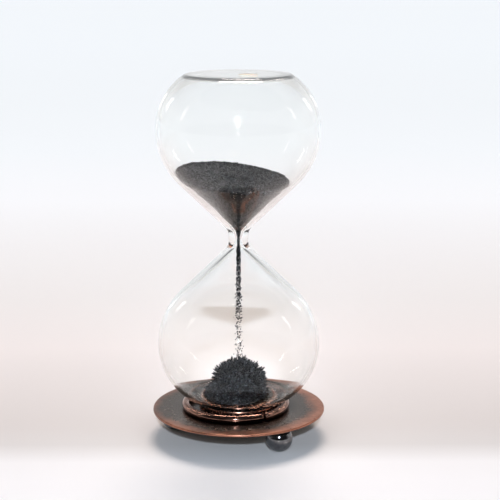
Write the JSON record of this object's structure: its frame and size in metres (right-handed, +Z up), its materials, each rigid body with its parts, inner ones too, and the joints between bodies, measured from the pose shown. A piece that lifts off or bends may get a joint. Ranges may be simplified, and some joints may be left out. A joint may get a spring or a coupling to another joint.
{
  "type": "magnetic hourglass",
  "caption": "Blown-glass hourglass of iron filings on a round copper-toned magnetic base with ball feet; the fallen filings stand up in a spiky mound.",
  "frame": {"origin": "on the desk, under the centre of the base plate", "axes": "+Z up through the waist of the glass, -Y towards the viewer, +X to the viewer's right"},
  "size_m": [0.076, 0.076, 0.1599],
  "materials": {
    "aged_copper_plate": "satin aged copper plating on steel, burnished to bright copper at the edge",
    "copper_wire": "glossy aged copper plating on steel wire, worn bright along its top",
    "copper_cap": "satin aged copper",
    "braze": "dull",
    "magnet": "matt sintered",
    "adhesive": "cured epoxy",
    "gunmetal_ball": "polished dark nickel plating on steel",
    "clear_glass": "clear, blown",
    "stopper": "translucent stopper",
    "iron_filings": "loose dark iron grains"
  },
  "bodies": {
    "base": {"base_plate": "aged_copper_plate", "retaining_ring": "copper_wire", "ring_braze": "braze", "magnet_cap": "copper_cap", "magnet": "magnet", "magnet_adhesive": "adhesive", "foot_front_right": "gunmetal_ball", "foot_left": "gunmetal_ball", "foot_rear": "gunmetal_ball", "foot_braze": "braze"},
    "filings": {"filings_upper": "iron_filings", "filings_stream": "iron_filings", "filings_pile": "iron_filings"},
    "hourglass": {"glass_vessel": "clear_glass", "fill_plug": "stopper"}
  },
  "joints": [
    {"name": "glass_lift", "type": "slide", "parent": "base", "child": "filings", "axis": [0, 0, 1], "range_m": [0, 0.2]},
    {"name": "glass_turn", "type": "hinge", "parent": "filings", "child": "hourglass", "pos_m": [0, 0, 0.0883], "axis": [0, 1, 0], "range_deg": [0, 180], "deforming": ["filings_upper", "filings_stream", "filings_pile"]}
  ],
  "couplings": [
    {"joint": "glass_turn", "follows": "glass_lift", "rad_per_m": 15.708}
  ]
}
